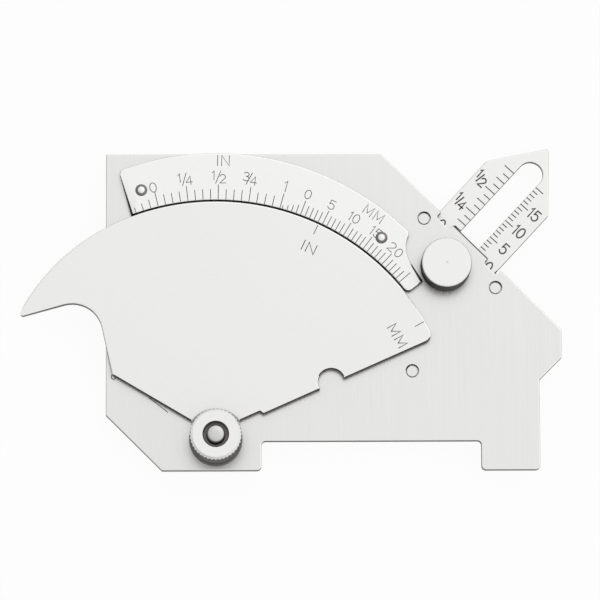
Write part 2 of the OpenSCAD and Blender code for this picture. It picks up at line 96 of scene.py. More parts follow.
def add_node(tree, kind, inputs=None, **settings):
    """Adds a node with its settings, and then its inputs by name or number."""
    made = tree.nodes.new(kind)
    for name, value in settings.items():
        setattr(made, name, value)
    for name, value in (inputs or {}).items():
        put(tree, made.inputs[name], value)
    return made


def calc(tree, operation, *values):
    """The value that a Math node puts out."""
    return add_node(tree, "ShaderNodeMath", dict(enumerate(values)), operation=operation).outputs[0]


def calc_vector(tree, operation, *values):
    """The vector that a Vector Math node puts out."""
    return add_node(tree, "ShaderNodeVectorMath", dict(enumerate(values)), operation=operation).outputs[0]


def toned(tree, colour, tone):
    """A colour times a tone."""
    return add_node(tree, "ShaderNodeVectorMath", {0: colour, "Scale": tone}, operation="SCALE").outputs[0]


def new_effect(name, inputs):
    """A shader node group with named inputs, each given as name: kind, and the outputs of a finish."""
    tree = bpy.data.node_groups.new(name, "ShaderNodeTree")
    for label, kind in inputs.items():
        tree.interface.new_socket(label, in_out="INPUT", socket_type="NodeSocket" + kind)
    for label, kind in EFFECT_OUTPUTS.items():
        tree.interface.new_socket(label, in_out="OUTPUT", socket_type="NodeSocket" + kind)
    return tree, tree.nodes.new("NodeGroupInput").outputs, tree.nodes.new("NodeGroupOutput").inputs


def make_ground_steel():
    """Streaks left by the grinding belt, with a slow mottle under them."""
    tree, given, result = new_effect("ground_steel", {
        "Place": "Vector", "Grain": "Vector", "Steel": "Color", "Streak tone": "Float",
        "Mottle tone": "Float", "Mottle size": "Float", "Roughness": "Float", "Roughness spread": "Float"})
    along = calc_vector(tree, "MULTIPLY", given["Place"], given["Grain"])
    streak = add_node(tree, "ShaderNodeTexNoise", {
        "Vector": along, "Scale": 1.0, "Detail": 4.0, "Roughness": 0.62, "Lacunarity": 2.3}).outputs["Fac"]
    turns = calc(tree, "DIVIDE", 1.0, given["Mottle size"])
    mottle = add_node(tree, "ShaderNodeTexNoise", {
        "Vector": given["Place"], "Scale": turns, "Detail": 3.0}).outputs["Fac"]
    streak_off = calc(tree, "SUBTRACT", streak, NOISE_MIDDLE)
    mottle_off = calc(tree, "SUBTRACT", mottle, NOISE_MIDDLE)
    streak_part = calc(tree, "MULTIPLY", streak_off, given["Streak tone"])
    mottle_part = calc(tree, "MULTIPLY", mottle_off, given["Mottle tone"])
    tone = calc(tree, "ADD", calc(tree, "ADD", streak_part, mottle_part), 1.0)
    spread = calc(tree, "MULTIPLY", calc(tree, "ADD", streak_off, mottle_off), given["Roughness spread"])
    put(tree, result["Color"], toned(tree, given["Steel"], tone))
    put(tree, result["Roughness"], calc(tree, "ADD", given["Roughness"], spread))
    put(tree, result["Height"], streak)
    return tree


ground_steel = make_ground_steel()


def finish_of(effect, name, values, cut_depth, metallic=1.0):
    """A material that takes its colour, roughness and relief from an effect, given the effect's values."""
    material = bpy.data.materials.new(name)
    material.use_nodes = True
    tree = material.node_tree
    shader = tree.nodes["Principled BSDF"]
    shader.inputs["Metallic"].default_value = metallic
    place = add_node(tree, "ShaderNodeTexCoord").outputs["Object"]
    finish = add_node(tree, "ShaderNodeGroup", {"Place": place, **values}, node_tree=effect).outputs
    relief = add_node(tree, "ShaderNodeBump", {
        "Height": finish["Height"], "Strength": RELIEF_STRENGTH, "Distance": cut_depth})
    put(tree, shader.inputs["Base Color"], finish["Color"])
    put(tree, shader.inputs["Roughness"], finish["Roughness"])
    put(tree, shader.inputs["Normal"], relief.outputs["Normal"])
    return material


def ground_finish(name, steel, grain, roughness, streak_tone, mottle_tone=0.05, mottle_size=0.02,
                  cut_depth=4e-6, metallic=1.0):
    """A finish with belt streaks in its colour, its roughness and its relief."""
    return finish_of(ground_steel, name, {
        "Grain": grain, "Steel": (*steel, 1.0), "Streak tone": streak_tone, "Mottle tone": mottle_tone,
        "Mottle size": mottle_size, "Roughness": roughness, "Roughness spread": GROUND_SPREAD,
    }, cut_depth, metallic)


# Dark walls with painted shade, and bright roundings with a painted highlight.
cut_edge_shade = ground_finish("cut_edge_shade", CUT_SHADE_STEEL, CUT_GRAIN, roughness=0.5, streak_tone=0.35)
broken_edge_highlight = ground_finish("broken_edge_highlight", BROKEN_EDGE_HIGHLIGHT_STEEL, CUT_GRAIN, roughness=0.22, streak_tone=0.05)
body_face = ground_finish("body_face", BODY_STEEL, UPRIGHT_GRAIN, roughness=0.30, streak_tone=0.10,
                          mottle_size=0.03, cut_depth=1.2e-6)


def axis_of(node):
    """Axis of a turned CAD node, seen along Z."""
    low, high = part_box(node)
    return ((low + high) / 2).to_2d()


def link_piece(name, shape, *materials):
    """Makes a piece of a finished shape, smooth but for its sharp edges."""
    mesh = bpy.data.meshes.new(name)
    shape.to_mesh(mesh)
    shape.free()
    for material in materials:
        mesh.materials.append(material)
    mesh.shade_smooth()
    mesh.set_sharp_from_angle(angle=SMOOTH_EDGE)
    piece = bpy.data.objects.new(name, mesh)
    bpy.context.scene.collection.objects.link(piece)
    return piece


def solid_of(node):
    """The closed shape of a CAD node, with its flat faces joined up."""
    shape = bmesh.new()
    shape.from_mesh(frame["nodes"][node].data)
    bmesh.ops.remove_doubles(shape, verts=shape.verts, dist=MERGED_POINTS)
    bmesh.ops.dissolve_limit(shape, angle_limit=JOINED_FACES, verts=shape.verts, edges=shape.edges)
    return shape


def edge_middle(edge):
    return (edge.verts[0].co + edge.verts[1].co) / 2


def is_sharp(edge):
    """Whether an edge runs round a face of a plate, with a steep wall on its other side."""
    level = abs(edge.verts[0].co.z - edge.verts[1].co.z) < SAME_HEIGHT
    return level and len(edge.link_faces) == 2 and edge.calc_face_angle() > SHARP_EDGE


def is_at_height(edge, height):
    return abs(edge_middle(edge).z - height) < SAME_HEIGHT


def is_clear(edge, unbroken):
    """Whether an edge lies out of reach of each unbroken axis, seen along Z."""
    place = edge_middle(edge).to_2d()
    return all((place - axis).length > reach for axis, reach in unbroken)


def never(face):
    return False


def chamfer(shape, edges, width):
    """Cuts edges off flat."""
    bmesh.ops.bevel(shape, geom=edges, offset=width, offset_type="OFFSET", segments=1, affect="EDGES")


def break_edges(shape, width, unbroken=(), is_shaded_rounding=never):
    """Rounds the sharp edges, but for those within reach of an unbroken axis.

    Walls and shaded roundings get material 1, painted dark with shade, and the other roundings get material
    2, with a painted highlight.
    """
    sharp = [edge for edge in shape.edges if is_sharp(edge) and is_clear(edge, unbroken)]
    made = bmesh.ops.bevel(shape, geom=sharp, offset=width, offset_type="OFFSET", segments=2, profile=0.5,
                           affect="EDGES", clamp_overlap=False)
    rounded = set(made["faces"])
    shape.normal_update()
    for face in shape.faces:
        steep = abs(face.normal.z) < FLAT_SHARE
        if face in rounded:
            face.material_index = 1 if steep or is_shaded_rounding(face) else 2
        else:
            face.material_index = 1 if steep else 0


def plate_piece(shape, node, name, face_finish, body, edge_break=EDGE_BREAK, unbroken=(),
                is_shaded_rounding=never):
    """A flat plate with its own face finish, cut walls with painted shade and broken edges with a painted
    highlight.
    """
    break_edges(shape, edge_break, unbroken, is_shaded_rounding)
    piece = link_piece(name, shape, face_finish, cut_edge_shade, broken_edge_highlight)
    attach(piece, body)
    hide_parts(node)


lock_axis = axis_of("thumb_screw")
body_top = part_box("body_plate")[1].z


def is_reading_edge(edge):
    """Whether an edge is the top edge of the tongue at which the slide is read."""
    from_lock = edge_middle(edge).to_2d() - lock_axis
    on_slope = abs(from_lock.dot(GUIDE_WAY) - LOCK_INSIDE_EDGE) < SAME_SLOPE
    on_tongue = abs(from_lock.cross(GUIDE_WAY)) < TONGUE_HALF
    return is_sharp(edge) and on_slope and on_tongue and is_at_height(edge, body_top)


body_shape = solid_of("body_plate")
chamfer(body_shape, [edge for edge in body_shape.edges if is_reading_edge(edge)], READING_CHAMFER)
plate_piece(body_shape, "body_plate", "body_plate_steel", body_face, "body",
            unbroken=[(axis_of(pillar), PILLAR_HOLE_REACH) for pillar in PILLARS])

# Marks on the body plate
# A scribed line and a zero lie half under the left edge of the cam, where the beak is read. All marks on the
# gauge are etched into the steel and filled black, and the fill stands a hair over the face.
FILL_BLACK = (0.075, 0.070, 0.066)
FILL_GRAIN = (1500.0, 1500.0, 1500.0)
FILL_OVER = 0.008 * MM
FILL_DEPTH = 0.02 * MM
SCRIBED_LINE = (Vector((-14.5, 9.3)) * MM, Vector((-10.4, 6.05)) * MM)
SCRIBED_W = 0.16 * MM
HEEL_ZERO_PLACE = Vector((-22.2, 13.95)) * MM
HEEL_ZERO_W = 0.2 * MM
HEEL_ZERO_H = 1.15 * MM
HEEL_ZERO_STRETCH = 1.6
CLOSED_SHARE = 0.02
LEAST_MITRE = 0.5

etched_fill = ground_finish("etched_fill", FILL_BLACK, FILL_GRAIN, roughness=0.6, streak_tone=0.5,
                            mottle_tone=0.3, mottle_size=0.004, metallic=0.0)


def bow(x, y, rx, ry, start, stop, steps=12):
    """Points of an arc of a sign, from one angle to another in degrees."""
    angles = [math.radians(start + (stop - start) * i / steps) for i in range(steps + 1)]
    return [(x + rx * math.cos(angle), y + ry * math.sin(angle)) for angle in angles]


# Width of each sign and its strokes, one unit high
SIGNS = {
    "0": (0.56, [bow(0.28, 0.5, 0.28, 0.5, 90, 450, 24)]),
    "1": (0.16, [[(0.0, 0.80), (0.16, 1.0), (0.16, 0.0)]]),
    "2": (0.56, [bow(0.28, 0.72, 0.27, 0.28, 165, -35) + [(0.0, 0.0), (0.56, 0.0)]]),
    "3": (0.56, [bow(0.26, 0.76, 0.25, 0.24, 150, -90) + bow(0.26, 0.27, 0.29, 0.27, 90, -150)]),
    "4": (0.60, [[(0.44, 0.0), (0.44, 1.0), (0.0, 0.30), (0.60, 0.30)]]),
    "5": (0.56, [[(0.50, 1.0), (0.08, 1.0), (0.05, 0.56)] + bow(0.26, 0.33, 0.29, 0.33, 135, -150)]),
    "I": (0.02, [[(0.01, 0.0), (0.01, 1.0)]]),
    "N": (0.74, [[(0.0, 0.0), (0.0, 1.0), (0.74, 0.0), (0.74, 1.0)]]),
    "M": (0.80, [[(0.0, 0.0), (0.0, 1.0), (0.40, 0.18), (0.80, 1.0), (0.80, 0.0)]]),
}
DIGIT_GAP, LETTER_GAP = 0.26, 0.38
# Size of the two signs of a fraction, the places of the upper and the lower one, and the ends of the slash
WIDE_FRACTION = (0.70, (0.0, 0.30), (0.50, 0.02), [(0.23, 0.0), (0.56, 1.0)])
TIGHT_FRACTION = (0.63, (0.0, 0.38), (0.44, 0.0), [(0.24, 0.10), (0.36, 0.80)])


def fraction_strokes(text, fraction):
    """Strokes and width of a fraction, one unit high."""
    size, over_place, under_place, slash = fraction
    over, under = text.split("/")
    strokes = []
    for sign, (left, foot) in ((over, over_place), (under, under_place)):
        strokes += [[(left + size * x, foot + size * y) for x, y in line] for line in SIGNS[sign][1]]
    return strokes + [slash], under_place[0] + size * SIGNS[under][0]


def word_strokes(text):
    """Strokes and width of a number or a word, one unit high."""
    gap = LETTER_GAP if text.isalpha() else DIGIT_GAP
    strokes, left = [], 0.0
    for sign in text:
        width, lines = SIGNS[sign]
        strokes += [[(left + x, y) for x, y in line] for line in lines]
        left += width + gap
    return strokes, left - gap


def etch_stroke(shape, points, width, level):
    """One filled line along the points, let into the face at a level."""
    points = [Vector(point) for point in points]
    closed = (points[0] - points[-1]).length < width * CLOSED_SHARE
    if closed:
        points.pop()
    else:
        points[0] -= (points[1] - points[0]).normalized() * width / 2
        points[-1] += (points[-1] - points[-2]).normalized() * width / 2
    count = len(points)
    low, high = level + FILL_OVER - FILL_DEPTH, level + FILL_OVER
    rails = []
    for i, point in enumerate(points):
        into = (point - points[i - 1]).normalized() if closed or i else None
        out = (points[(i + 1) % count] - point).normalized() if closed or i < count - 1 else None
        into, out = into or out, out or into
        way = (into + out).normalized()
        side = Vector((-way.y, way.x))
        mitre = max(LEAST_MITRE, side.dot(Vector((-into.y, into.x))))
        reach = side * width / 2 / mitre
        corners = ((point + reach, low), (point - reach, low), (point - reach, high), (point + reach, high))
        rails.append([shape.verts.new((spot.x, spot.y, z)) for spot, z in corners])
    pairs = list(zip(rails, rails[1:]))
    if closed:
        pairs.append((rails[-1], rails[0]))
    for first, second in pairs:
        for k in range(4):
            shape.faces.new((first[k], first[(k + 1) % 4], second[(k + 1) % 4], second[k]))
    if not closed:
        shape.faces.new(rails[0][::-1])
        shape.faces.new(rails[-1])


def etch_sign(shape, text, place, height, turn, width, level, fraction=WIDE_FRACTION, stretch=1.0):
    """A word centred on a place, upright along the turned Y axis; sizes in metres, turn in radians."""
    strokes, span = fraction_strokes(text, fraction) if "/" in text else word_strokes(text)
    up = Vector((-math.sin(turn), math.cos(turn)))
    right = Vector((up.y, -up.x)) * stretch
    for line in strokes:
        points = [place + right * height * (x - span / 2) + up * height * (y - 0.5) for x, y in line]
        etch_stroke(shape, points, width, level)


def marks_piece(name, shape, body):
    """All the filled marks on one plate."""
    bmesh.ops.recalc_face_normals(shape, faces=shape.faces)
    piece = link_piece(name, shape, etched_fill)
    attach(piece, body)


body_marks = bmesh.new()
etch_stroke(body_marks, SCRIBED_LINE, SCRIBED_W, body_top)
etch_sign(body_marks, "0", HEEL_ZERO_PLACE, HEEL_ZERO_H, 0.0, HEEL_ZERO_W, body_top,
          stretch=HEEL_ZERO_STRETCH)
marks_piece("body_marks", body_marks, "body")

# Back cover, guide pillars and pivot stud
# A thin ground cover closes the guide behind the slide. Four shouldered steel pillars are riveted through
# cover and body, with sunk heads in front, and the turned stud of the cam is pressed through the body from
# behind.
COVER_GRAIN = (900.0, 70.0, 900.0)
FITTING_STEEL = (0.60, 0.60, 0.585)
FITTING_GRAIN = (700.0, 700.0, 2600.0)
FITTING_BREAK = 0.05 * MM
FITTING_FLAT = 0.5
STUD_END_STEEL = (0.66, 0.66, 0.65)
STUD_FLAT = 0.6
# Painted shade: dark grey for the nut's recess, the washer under the nut, the stud's side and the rivet
# domes' rims.
SHADE_PAINTED_STEEL = (0.24, 0.23, 0.22)

cover_face = ground_finish("cover_face", BODY_STEEL, COVER_GRAIN, roughness=0.4, streak_tone=0.14)
plate_piece(solid_of("back_cover"), "back_cover", "back_cover_steel", cover_face, "body")
plain_fitting = ground_finish("plain_fitting", FITTING_STEEL, FITTING_GRAIN, roughness=0.36, streak_tone=0.12,
                              mottle_tone=0.08, mottle_size=0.003)


def fitting_piece(node, name, finish, side_finish=cut_edge_shade, flat_share=FITTING_FLAT):
    """A turned fitting on the body with its edges broken, and a side finish on its steeper faces."""
    shape = solid_of(node)
    break_edges(shape, FITTING_BREAK)
    for face in shape.faces:
        face.material_index = 1 if abs(face.normal.z) < flat_share else 0
    piece = link_piece(name, shape, finish, side_finish)
    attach(piece, "body")
    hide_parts(node)


for pillar in PILLARS:
    fitting_piece(pillar, pillar + "_rivet", body_face, plain_fitting)
stud_end = ground_finish("stud_end", STUD_END_STEEL, FITTING_GRAIN, roughness=0.3, streak_tone=0.08,
                         mottle_tone=0.12, mottle_size=0.002)
# Dark grey finish that paints the shade in hollows and under the nut, here on the stud's side in the recess.
shade_painted_finish = ground_finish("shade_painted_finish", SHADE_PAINTED_STEEL, FITTING_GRAIN, roughness=0.4, streak_tone=0.2)
fitting_piece("pivot_stud", "pivot_stud_turned", stud_end, shade_painted_finish, STUD_FLAT)

# Throat slide
# A pointed steel slide with a long slot. It runs between the pillars behind the body, has an even satin face,
# and carries a millimetre scale on one side of the slot and sixteenths of an inch on the other.
SLIDE_STEEL = (0.86, 0.86, 0.85)
SLIDE_GRAIN = (1500.0, 1500.0, 1500.0)
SLIDE_SLOT_HALF = 2.8 * MM
SLIDE_LINE = 0.23 * MM
SLIDE_SIGN_LINE = 0.33 * MM
SLIDE_READING = 1.0 * MM
GUIDE_MIDDLE_PAST_LOCK = 8.5 * MM
GUIDE_MIDDLE_INSIDE_EDGE = 16.5 * MM
SIXTEENTH = 25.4 / 16 * MM
# Text, with its reading, its place across the slide and its height in mm
SLIDE_SIGNS = (
    ("0", -0.3, -7.05, 2.4),
    ("5", 5.05, -6.95, 2.4),
    ("10", 10.15, -6.8, 2.4),
    ("15", 15.2, -6.7, 2.4),
    ("0", -0.3, 6.95, 2.4),
    ("1/4", 6.6, 7.2, 3.2),
    ("1/2", 13.45, 7.3, 3.2),
)
MARK_SIZES = {
    "Count": "Int", "First": "Float", "Step": "Float", "Short": "Float", "Middle": "Float", "Long": "Float",
    "Middle every": "Float", "Long every": "Float", "Shrink": "Float", "Line": "Float", "Depth": "Float",
    "Level": "Float", "Fill": "Material"}

slide_face = ground_finish("slide_face", SLIDE_STEEL, SLIDE_GRAIN, roughness=0.36, streak_tone=0.06)
plate_piece(solid_of("throat_slide"), "throat_slide", "throat_slide_steel", slide_face, "slide")


def new_growth(name, sizes):
    """A geometry node tree with named sizes, given as name: kind, and one geometry output."""
    tree = bpy.data.node_groups.new(name, "GeometryNodeTree")
    for label, kind in sizes.items():
        tree.interface.new_socket(label, in_out="INPUT", socket_type="NodeSocket" + kind)
    tree.interface.new_socket("Geometry", in_out="OUTPUT", socket_type="NodeSocketGeometry")
    return tree, tree.nodes.new("NodeGroupInput").outputs, tree.nodes.new("NodeGroupOutput").inputs


def end_growth(tree, result, geometry, finish):
    """Makes what has grown one real mesh with a finish, and ends the tree."""
    whole = add_node(tree, "GeometryNodeRealizeInstances", {"Geometry": geometry})
    finished = add_node(tree, "GeometryNodeSetMaterial", {"Geometry": whole.outputs[0], "Material": finish})
    put(tree, result["Geometry"], finished.outputs[0])


def mark_lengths(tree, given):
    """Reading and length of each mark, by its number."""
    number = add_node(tree, "GeometryNodeInputIndex").outputs[0]
    reading = calc(tree, "MULTIPLY_ADD", number, given["Step"], given["First"])
    length = calc(tree, "SUBTRACT", given["Short"], calc(tree, "MULTIPLY", number, given["Shrink"]))
    for longer, shorter, every in (("Middle", "Short", "Middle every"), ("Long", "Middle", "Long every")):
        is_longer = calc(tree, "LESS_THAN", calc(tree, "MODULO", number, given[every]), 0.5)
        extra = calc(tree, "SUBTRACT", given[longer], given[shorter])
        length = calc(tree, "MULTIPLY_ADD", is_longer, extra, length)
    return reading, length


def place_marks(tree, given, result, place, turn, length):
    """Sets one filled bar at each place and ends the tree."""
    points = add_node(tree, "GeometryNodePoints", {"Count": given["Count"], "Position": place})
    bar = add_node(tree, "GeometryNodeMeshCube", {"Size": (1.0, 1.0, 1.0)})
    size = add_node(tree, "ShaderNodeCombineXYZ", {0: length, 1: given["Line"], 2: given["Depth"]})
    facing = add_node(tree, "ShaderNodeCombineXYZ", {2: turn})
    bars = add_node(tree, "GeometryNodeInstanceOnPoints", {
        "Points": points.outputs[0], "Instance": bar.outputs[0], "Rotation": facing.outputs[0],
        "Scale": size.outputs[0]})
    end_growth(tree, result, bars.outputs[0], given["Fill"])


def make_straight_marks():
    """Marks across a straight scale: it starts at a place and runs along a direction."""
    tree, given, result = new_growth("straight_marks", {
        **MARK_SIZES, "Start": "Vector", "Direction": "Float", "Side": "Float", "Inset": "Float"})
    reading, length = mark_lengths(tree, given)
    aside = calc(tree, "MULTIPLY", given["Side"], calc(tree, "MULTIPLY_ADD", length, 0.5, given["Inset"]))
    cosine, sine = calc(tree, "COSINE", given["Direction"]), calc(tree, "SINE", given["Direction"])
    x = calc(tree, "SUBTRACT", calc(tree, "MULTIPLY", reading, cosine), calc(tree, "MULTIPLY", aside, sine))
    y = calc(tree, "ADD", calc(tree, "MULTIPLY", reading, sine), calc(tree, "MULTIPLY", aside, cosine))
    offset = add_node(tree, "ShaderNodeCombineXYZ", {0: x, 1: y, 2: given["Level"]})
    place = calc_vector(tree, "ADD", given["Start"], offset.outputs[0])
    across = calc(tree, "ADD", given["Direction"], math.pi / 2)
    place_marks(tree, given, result, place, across, length)
    return tree


def grown_mesh(tree, sizes):
    """The plain mesh that a geometry node tree grows from its sizes."""
    stock = bpy.data.objects.new("stock", bpy.data.meshes.new("stock"))
    bpy.context.scene.collection.objects.link(stock)
    grower = stock.modifiers.new("grower", "NODES")
    grower.node_group = tree
    for item in tree.interface.items_tree:
        if item.in_out == "INPUT":
            grower[item.identifier] = sizes[item.name]
    bpy.context.view_layer.update()
    mesh = bpy.data.meshes.new_from_object(stock.evaluated_get(bpy.context.evaluated_depsgraph_get()))
    bpy.data.objects.remove(stock)
    return mesh


def add_grown(shape, tree, **sizes):
    """Adds what a tree grows to a shape; names of sizes are written with underscores."""
    mesh = grown_mesh(tree, {name.replace("_", " "): value for name, value in sizes.items()})
    shape.from_mesh(mesh)
    bpy.data.meshes.remove(mesh)


def fill_middle(level):
    """Height of the middle of a fill that is let into a face at a level."""
    return level + FILL_OVER - FILL_DEPTH / 2


def way_at(angle):
    """Unit vector at an angle from X."""
    return Vector((math.cos(angle), math.sin(angle)))


straight_marks = make_straight_marks()
travel = next(joint for joint in frame["joints"] if joint["name"] == "throat_slide_travel")
slide_turn = math.atan2(travel["axis"][1], travel["axis"][0])
slide_way = way_at(slide_turn)
slide_side = Vector((-slide_way.y, slide_way.x))
slide_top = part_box("throat_slide")[1].z
guide_middle = lock_axis - GUIDE_WAY * GUIDE_MIDDLE_PAST_LOCK
slide_zero = guide_middle + slide_way * (GUIDE_MIDDLE_INSIDE_EDGE - SLIDE_READING)
slide_scale = dict(
    Start=(*slide_zero, 0.0), Direction=slide_turn, Inset=SLIDE_SLOT_HALF, First=0.0, Shrink=0.0,
    Line=SLIDE_LINE, Depth=FILL_DEPTH, Level=fill_middle(slide_top), Fill=etched_fill)
slide_marks = bmesh.new()
add_grown(slide_marks, straight_marks, Side=-1.0, Count=21, Step=1.0 * MM, Short=1.4 * MM, Middle=1.4 * MM,
          Long=2.2 * MM, Middle_every=1.0, Long_every=5.0, **slide_scale)
add_grown(slide_marks, straight_marks, Side=1.0, Count=13, Step=SIXTEENTH, Short=1.75 * MM, Middle=2.3 * MM,
          Long=2.75 * MM, Middle_every=2.0, Long_every=4.0, **slide_scale)
for text, reading, aside, height in SLIDE_SIGNS:
    place = slide_zero + slide_way * reading * MM + slide_side * aside * MM
    etch_sign(slide_marks, text, place, height * MM, slide_turn - math.pi / 2, SLIDE_SIGN_LINE, slide_top,
              fraction=TIGHT_FRACTION)
marks_piece("slide_marks", slide_marks, "slide")

# Clamp bush and thumb screw
# A tapped steel bush sits in the cover and stands in the slide's slot. The thumb screw goes through the body
# into it and clamps the slide. Its head is turned bright on the face, with a centre dimple, and cut with a
# fine knurl round its side, which is painted near black: knurled steel with painted shade in its grooves.
TURNED_STEEL = (0.87, 0.87, 0.86)
TURNED_SPREAD = 0.2
# Near black: the knurled steel's own tone with painted shade of its grooves and shaded sides.
KNURL_AND_SHADE_STEEL = (0.10, 0.097, 0.093)
SCREW_TEETH = 68
SCREW_KNURL_DEPTH = 0.13 * MM
SCREW_BEVEL = 0.3 * MM
SCREW_HEAD_H = 6.2 * MM
SCREW_SHANK_R = 1.5 * MM
SCREW_END_BEVEL = 0.3 * MM
SCREW_DIMPLE_R = 0.3 * MM
SAMPLES_PER_TOOTH = 6
BEVEL_SHARE = 0.55
MERGED_SEAM = 0.001 * MM

fitting_piece("clamp_bush", "clamp_bush_turned", plain_fitting)


def radius_at(tree, place):
    """Distance of a place from the Z axis."""
    level = calc_vector(tree, "MULTIPLY", place, (1.0, 1.0, 0.0))
    return add_node(tree, "ShaderNodeVectorMath", {0: level}, operation="LENGTH").outputs["Value"]


def make_turning_rings():
    """Fine rings that a lathe tool leaves on a face, about a centre."""
    tree, given, result = new_effect("turning_rings", {
        "Place": "Vector", "Centre": "Vector", "Rings per metre": "Float", "Steel": "Color",
        "Ring tone": "Float", "Roughness": "Float", "Roughness spread": "Float"})
    radius = radius_at(tree, calc_vector(tree, "SUBTRACT", given["Place"], given["Centre"]))
    turns = calc(tree, "MULTIPLY", radius, given["Rings per metre"])
    rings = add_node(tree, "ShaderNodeTexNoise", {"W": turns, "Scale": 1.0, "Detail": 3.0, "Roughness": 0.6},
                     noise_dimensions="1D").outputs["Fac"]
    off = calc(tree, "SUBTRACT", rings, NOISE_MIDDLE)
    tone = calc(tree, "MULTIPLY_ADD", off, given["Ring tone"], 1.0)
    roughness = calc(tree, "MULTIPLY_ADD", off, given["Roughness spread"], given["Roughness"])
    put(tree, result["Color"], toned(tree, given["Steel"], tone))
    put(tree, result["Roughness"], roughness)
    put(tree, result["Height"], rings)
    return tree


turning_rings = make_turning_rings()


def turned_finish(name, centre, rings, roughness, ring_tone, cut_depth=3e-6):
    """A bright steel face turned about a centre."""
    return finish_of(turning_rings, name, {
        "Centre": (*centre, 0.0), "Rings per metre": rings, "Steel": (*TURNED_STEEL, 1.0),
        "Ring tone": ring_tone, "Roughness": roughness, "Roughness spread": TURNED_SPREAD,
    }, cut_depth)


def polar_place(tree, radius, angle, height):
    """A place at a radius, an angle and a height about the Z axis."""
    x = calc(tree, "MULTIPLY", radius, calc(tree, "COSINE", angle))
    y = calc(tree, "MULTIPLY", radius, calc(tree, "SINE", angle))
    return add_node(tree, "ShaderNodeCombineXYZ", {0: x, 1: y, 2: height}).outputs[0]


def make_knurled_side():
    """The side of a round head with diamond teeth, cut off by a bevel at both ends."""
    tree, given, result = new_growth("knurled_side", {
        "Columns": "Int", "Rows": "Int", "Radius": "Float", "Low": "Float", "High": "Float", "Bevel": "Float",
        "Teeth": "Float", "Tooth height": "Float", "Depth": "Float", "Axis": "Vector", "Finish": "Material"})
    columns = calc(tree, "ADD", given["Columns"], 1.0)
    grid = add_node(tree, "GeometryNodeMeshGrid", {
        "Size X": 1.0, "Size Y": 1.0, "Vertices X": columns, "Vertices Y": given["Rows"]})
    position = add_node(tree, "GeometryNodeInputPosition").outputs[0]
    spot = add_node(tree, "ShaderNodeSeparateXYZ", {0: position}).outputs
    share = calc(tree, "ADD", spot["X"], 0.5)
    height = calc(tree, "SUBTRACT", given["High"], given["Low"])
    climb = calc(tree, "MULTIPLY", calc(tree, "ADD", spot["Y"], 0.5), height)
    tooth = calc(tree, "MULTIPLY", share, given["Teeth"])
    lead = calc(tree, "DIVIDE", climb, given["Tooth height"])
    rising = calc(tree, "PINGPONG", calc(tree, "ADD", tooth, lead), 0.5)
    falling = calc(tree, "PINGPONG", calc(tree, "SUBTRACT", tooth, lead), 0.5)
    crest = calc(tree, "MULTIPLY", calc(tree, "MINIMUM", rising, falling), 2.0)
    cut = calc(tree, "MULTIPLY", calc(tree, "SUBTRACT", 1.0, crest), given["Depth"])
    toothed = calc(tree, "SUBTRACT", given["Radius"], cut)
    inner = calc(tree, "SUBTRACT", given["Radius"], given["Bevel"])
    from_low = calc(tree, "ADD", inner, climb)
    from_high = calc(tree, "ADD", inner, calc(tree, "SUBTRACT", height, climb))
    radius = calc(tree, "MINIMUM", toothed, calc(tree, "MINIMUM", from_low, from_high))
    turn = calc(tree, "MULTIPLY", share, math.tau)
    about_origin = polar_place(tree, radius, turn, calc(tree, "ADD", given["Low"], climb))
    place = calc_vector(tree, "ADD", about_origin, given["Axis"])
    side = add_node(tree, "GeometryNodeSetPosition", {"Geometry": grid.outputs[0], "Position": place})
    end_growth(tree, result, side.outputs[0], given["Finish"])
    return tree


knurled_side = make_knurled_side()


def turn_profile(shape, profile, axis, steps):
    """Turns points of radius and height about an axis; a point of no radius closes the end."""
    angles = [math.tau * k / steps for k in range(steps)]
    rings = []
    for radius, z in profile:
        if radius == 0.0:
            rings.append([shape.verts.new((*axis, z))] * steps)
        else:
            rings.append([shape.verts.new((axis[0] + radius * math.cos(angle),
                                           axis[1] + radius * math.sin(angle), z)) for angle in angles])
    for inner, outer in zip(rings, rings[1:]):
        for k in range(steps):
            corners = [inner[k], inner[(k + 1) % steps], outer[(k + 1) % steps], outer[k]]
            shape.faces.new(list(dict.fromkeys(corners)))


def knurled_piece(node, name, turned_parts, axis, radius, low, high, bevel, teeth, depth, side_finish):
    """One closed shape of turned parts, each a finish and a profile, and a knurled side.

    The bevel over the knurl gets the first part's finish.
    """
    finishes, profiles = zip(*turned_parts)
    steps = teeth * SAMPLES_PER_TOOTH
    tooth_h = math.tau * radius / teeth
    rows = 1 + round((high - low) / tooth_h * SAMPLES_PER_TOOTH)
    shape = bmesh.new()
    for number, profile in enumerate(profiles):
        before = set(shape.faces)
        turn_profile(shape, profile, axis, steps)
        for face in set(shape.faces) - before:
            face.material_index = number
    before = set(shape.faces)
    add_grown(shape, knurled_side, Columns=steps, Rows=rows, Radius=radius, Low=low, High=high, Bevel=bevel,
              Teeth=float(teeth), Tooth_height=tooth_h, Depth=depth, Axis=(*axis, 0.0), Finish=side_finish)
    side = set(shape.faces) - before
    bmesh.ops.remove_doubles(shape, verts=shape.verts, dist=MERGED_SEAM)
    bmesh.ops.recalc_face_normals(shape, faces=shape.faces)
    for face in side:
        if face.is_valid:
            face.material_index = 0 if face.normal.z > BEVEL_SHARE else len(finishes)
    piece = link_piece(name, shape, *finishes, side_finish)
    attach(piece, node)
    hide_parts(node)


